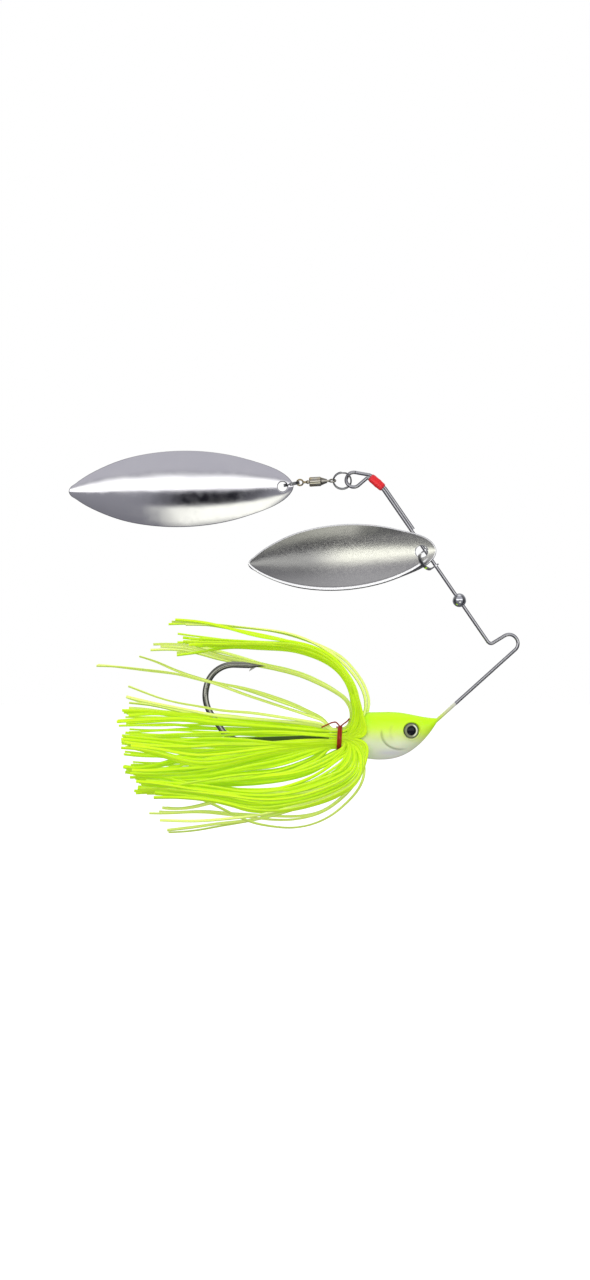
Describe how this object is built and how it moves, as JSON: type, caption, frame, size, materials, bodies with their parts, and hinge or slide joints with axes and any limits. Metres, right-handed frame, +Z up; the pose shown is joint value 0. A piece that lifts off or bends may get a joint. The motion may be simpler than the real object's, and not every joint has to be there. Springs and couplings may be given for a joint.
{
  "type": "spinnerbait",
  "caption": "Double willow-leaf spinnerbait: bent wire arm with a fish-shaped weighted hook and silicone skirt below, swivel-mounted rear blade and clevis-mounted front blade above",
  "frame": {"origin": "centre of the bend in the wire that the fishing line is tied to", "axes": "+X is the direction the lure is pulled in, +Z up with the hook point above its shank, +Y to the lure's left; the wire form lies in the plane Y = 0"},
  "size_m": [0.1173, 0.054, 0.1018],
  "materials": {
    "wire": "drawn stainless spring wire",
    "sleeve": "glossy heat-shrunk tube",
    "head_paint": "gloss lacquer over lead, chartreuse back fading to a white belly",
    "hook": "dark nickel plated steel",
    "eye": "domed foil eye",
    "pupil": "glossy black",
    "skirt": "translucent silicone strands",
    "tie": "enamelled copper wire",
    "blade_polished": "polished nickel plate",
    "blade_satin": "satin nickel plate",
    "ring": "nickel plated spring steel",
    "swivel": "nickel plated brass, worn towards brass",
    "clevis": "bright nickel plated stamping",
    "bead": "polished plated brass"
  },
  "bodies": {
    "arm": {"wire_form": "wire", "wire_sleeve": "sleeve", "lead_head": "head_paint", "hook": "hook", "eye_left": "eye", "eye_right": "eye", "pupil_left": "pupil", "pupil_right": "pupil", "skirt_inner": "skirt", "skirt_outer": "skirt", "skirt_tie": "tie"},
    "loop_ring": {"loop_ring": "ring"},
    "swivel": {"swivel_barrel": "swivel", "swivel_front_eye": "swivel", "swivel_balls": "swivel"},
    "swivel_eye": {"swivel_rear_eye": "swivel"},
    "blade_ring": {"blade_ring": "ring"},
    "rear_blade": {"rear_blade": "blade_polished"},
    "clevis": {"clevis": "clevis"},
    "front_blade": {"front_blade": "blade_satin"},
    "bead": {"bead": "bead"}
  },
  "joints": [
    {"name": "loop_ring_swing", "type": "hinge", "parent": "arm", "child": "loop_ring", "pos_m": [-0.04225, 0.00036, 0.04208], "axis": [-0.2273, 0.342, 0.9118], "range_deg": [-8, 25]},
    {"name": "swivel_swing", "type": "hinge", "parent": "loop_ring", "child": "swivel", "pos_m": [-0.04336, 0.00036, 0.04231], "axis": [0, 0.9063, 0.4226], "range_deg": [-14, 55]},
    {"name": "swivel_spin", "type": "hinge", "parent": "swivel", "child": "swivel_eye", "pos_m": [-0.04591, 0.00036, 0.04231], "axis": [-0.9984, 0, -0.0558], "continuous": true},
    {"name": "blade_ring_swing", "type": "hinge", "parent": "swivel_eye", "child": "blade_ring", "pos_m": [-0.05454, 0.00036, 0.04184], "axis": [0, -1, 0], "range_deg": [-35, 22]},
    {"name": "rear_blade_swing", "type": "hinge", "parent": "blade_ring", "child": "rear_blade", "pos_m": [-0.05651, 0.00036, 0.04146], "axis": [-0.1908, 0, 0.9816], "range_deg": [-50, 50]},
    {"name": "clevis_spin", "type": "hinge", "parent": "arm", "child": "clevis", "pos_m": [-0.01906, 0, 0.02017], "axis": [-0.5664, 0, 0.8241], "continuous": true},
    {"name": "front_blade_swing", "type": "hinge", "parent": "clevis", "child": "front_blade", "pos_m": [-0.02272, -0.00135, 0.02364], "axis": [-0.075, 0, 0.9972], "range_deg": [-12, 12]},
    {"name": "bead_slide", "type": "slide", "parent": "arm", "child": "bead", "axis": [-0.5664, 0, 0.8241], "range_m": [-0.011, 0.0085]}
  ]
}
